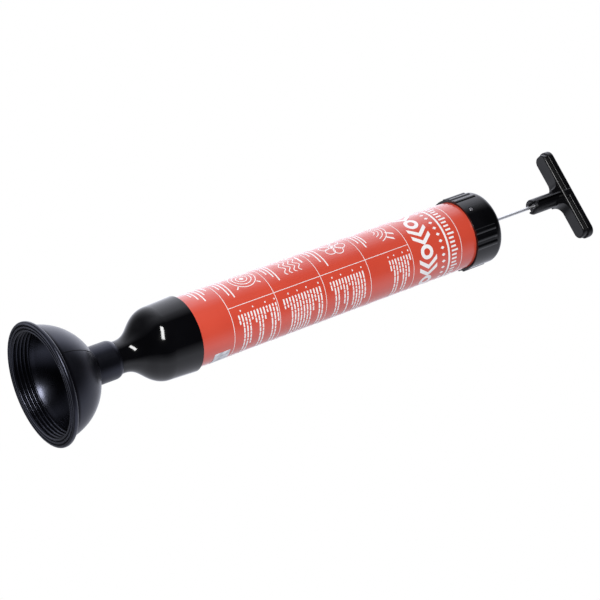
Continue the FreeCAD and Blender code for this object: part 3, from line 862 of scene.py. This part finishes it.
ARCH_RADII = (5.0 * MM, 9.0 * MM, 13.0 * MM, 17.0 * MM)
ARCH_DROP = 8.0 * MM
ARCH_START = 15.0
ARCH_SWEEP = 150.0
LEANING_BARS = ((6.0 * MM, 6.0 * MM), (12.0 * MM, 3.0 * MM))
LEANING_WIDTH = 2.2 * MM
LEANING_HEIGHT = 7.0 * MM
LEAN = 5.0 * MM


def draw_arches(ink, across, height):
    """Nested arches, with two solid bars that lean over them."""
    for radius in ARCH_RADII:
        ink.arc(across, height - ARCH_DROP, radius, FIGURE_LINE, ARCH_START, ARCH_SWEEP)
    for place, level in LEANING_BARS:
        low = height + level
        ink.slanted(across + place, LEANING_WIDTH, low, low + LEANING_HEIGHT, LEAN)


def print_figures(material):
    """A figure of its own in each panel."""
    ink = Ink()
    for turn in SEAM_TURNS:
        ink.turn = turn
        for low, draw in zip(PANEL_EDGES, (draw_target, draw_waves, draw_petals, draw_arches)):
            draw(ink, FIGURE_ACROSS, low + FIGURE_INSET)
    ink.add_piece("print_figures", material)


# The wide pattern next to the cap. An eye is a thick ring between the chevrons

PATTERN_FIRST = -50.0 * MM
PATTERN_LAST = 52.0 * MM
CHEVRON_LOW = 414.0 * MM
CHEVRON_HIGH = 436.0 * MM
CHEVRON_WIDTH = 4.6 * MM
CHEVRON_REACH = 8.0 * MM
CHEVRON_PITCH = 9.0 * MM
CHEVRON_ROWS = 3
CHEVRON_STEPS = 12
CHEVRONS_TOGETHER = 2
EYE_INSET = 11.0 * MM
EYE_RADIUS = 5.6 * MM
EYE_WIDTH = 3.8 * MM
EYE_PITCH = 16.5 * MM


def draw_chevron(ink, across):
    """A bold arrow head that points round the tube."""
    rows = []
    for row in range(CHEVRON_ROWS + 1):
        points = []
        for step in range(CHEVRON_STEPS + 1):
            share = step / CHEVRON_STEPS
            bend = CHEVRON_REACH * (1 - abs(2 * share - 1))
            height = CHEVRON_HIGH + share * (CHEVRON_LOW - CHEVRON_HIGH)
            points.append((across + bend + row * CHEVRON_WIDTH / CHEVRON_ROWS, height))
        rows.append(points)
    ink.grid(rows)


def draw_chevrons(ink):
    """Chevrons two by two, with an eye after each two."""
    place = PATTERN_FIRST
    drawn = 0
    while place < PATTERN_LAST:
        if drawn < CHEVRONS_TOGETHER:
            draw_chevron(ink, place)
            place += CHEVRON_PITCH
            drawn += 1
        else:
            ink.arc(place + EYE_INSET, (CHEVRON_LOW + CHEVRON_HIGH) / 2, EYE_RADIUS, EYE_WIDTH)
            place += EYE_PITCH
            drawn = 0


DIAMONDS = 15
DIAMOND_HEIGHT = 444.5 * MM
DIAMOND_PITCH = 7.2 * MM
DIAMOND_RISE = 2.4 * MM
DIAMOND_REACH = 1.7 * MM


def draw_diamonds(ink):
    """A row of small diamonds."""
    for diamond in range(DIAMONDS):
        across = PATTERN_FIRST + diamond * DIAMOND_PITCH
        bottom, top = (across, DIAMOND_HEIGHT - DIAMOND_RISE), (across, DIAMOND_HEIGHT + DIAMOND_RISE)
        left, right = (across - DIAMOND_REACH, DIAMOND_HEIGHT), (across + DIAMOND_REACH, DIAMOND_HEIGHT)
        ink.grid([[bottom, right], [left, top]])


TICKS = 24
TICK_LOW = 455.2 * MM
TICK_PITCH = 4.4 * MM
TICK_WIDTH = 1.9 * MM
SHORT_TICK = 6.0 * MM
LONG_TICK = 8.0 * MM
TICKS_TO_LONG = 4


def draw_ticks(ink):
    """A plain scale, on which every fourth tick is longer."""
    for tick in range(TICKS):
        across = PATTERN_FIRST + tick * TICK_PITCH
        rise = SHORT_TICK if tick % TICKS_TO_LONG else LONG_TICK
        ink.block(across, across + TICK_WIDTH, TICK_LOW, TICK_LOW + rise)


def print_pattern(material):
    """Chevrons and eyes, diamonds and a scale, one row above the other."""
    ink = Ink()
    for turn in SEAM_TURNS:
        ink.turn = turn
        draw_chevrons(ink)
        draw_diamonds(ink)
        draw_ticks(ink)
    ink.add_piece("print_pattern", material)


# The label's place: from and to round the tube, then its lower and upper edge
LABEL_RISE = 0.16 * MM
LABEL_BOX = (41.0 * MM, 60.0 * MM, 168.5 * MM, 186.0 * MM)


def add_label(material):
    """A small bare label near the sleeve."""
    ink = Ink(LABEL_RISE)
    ink.block(*LABEL_BOX)
    ink.add_piece("bare_label", material)


# The parting lines of the cup's mould. The profile is in widths across and rises up, and the rays that
# find the cup's surface start at OUTSIDE_REACH

PARTING_ANGLES = (-98.0, 82.0)
PARTING_LOW = 7.0 * MM
PARTING_HIGH = 52.0 * MM
PARTING_STEPS = 90
PARTING_WIDTH = 0.7 * MM
PARTING_RISE = 0.22 * MM
PARTING_PROFILE = ((-0.5, -0.4), (-0.42, 0.45), (0.0, 1.0), (0.42, 0.45), (0.5, -0.4))
OUTSIDE_REACH = 200.0 * MM


def surface_line(node_name, outward, low, high, steps):
    """Points and normals on the outside of a node, on one side, from one height to another."""
    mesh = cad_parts[node_name].data
    corners = [vertex.co for vertex in mesh.vertices]
    surface = BVHTree.FromPolygons(corners, [tuple(face.vertices) for face in mesh.polygons])
    line = []
    for step in range(steps + 1):
        height = low + (high - low) * step / steps
        start = outward * OUTSIDE_REACH + Vector((0, 0, height))
        place, normal, _, _ = surface.ray_cast(start, -outward)
        if place is not None:
            line.append((place, normal))
    return line


def add_parting_lines(material):
    """A low ridge up both sides of the rubber cup."""
    points, faces = [], []
    count = len(PARTING_PROFILE)
    for angle in PARTING_ANGLES:
        turn = math.radians(angle)
        outward = Vector((math.cos(turn), math.sin(turn), 0))
        side = Vector((-math.sin(turn), math.cos(turn), 0))
        line = surface_line("suction_cup", outward, PARTING_LOW, PARTING_HIGH, PARTING_STEPS)
        start = len(points)
        for place, normal in line:
            for across, rise in PARTING_PROFILE:
                points.append(place + side * (across * PARTING_WIDTH) + normal * (rise * PARTING_RISE))
        for section in range(len(line) - 1):
            here, there = start + section * count, start + (section + 1) * count
            for corner in range(count):
                beside = (corner + 1) % count
                faces.append([here + corner, here + beside, there + beside, there + corner])
        faces.append([start + corner for corner in reversed(range(count))])
        faces.append([start + (len(line) - 1) * count + corner for corner in range(count)])
    piece = add_mesh("cup_parting_line", points, faces, material)
    piece.data.shade_smooth()
    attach(piece, "barrel")


def main():
    bpy.context.scene.view_settings.view_transform = "Standard"
    add_camera()
    add_lamps()
    add_studio()
    add_floor()
    finish_nodes()
    ink = print_ink()
    print_rules(ink)
    print_rows(ink)
    print_bars(ink)
    print_figures(ink)
    print_pattern(ink)
    add_label(label_film())
    add_parting_lines(parting_rubber())


main()
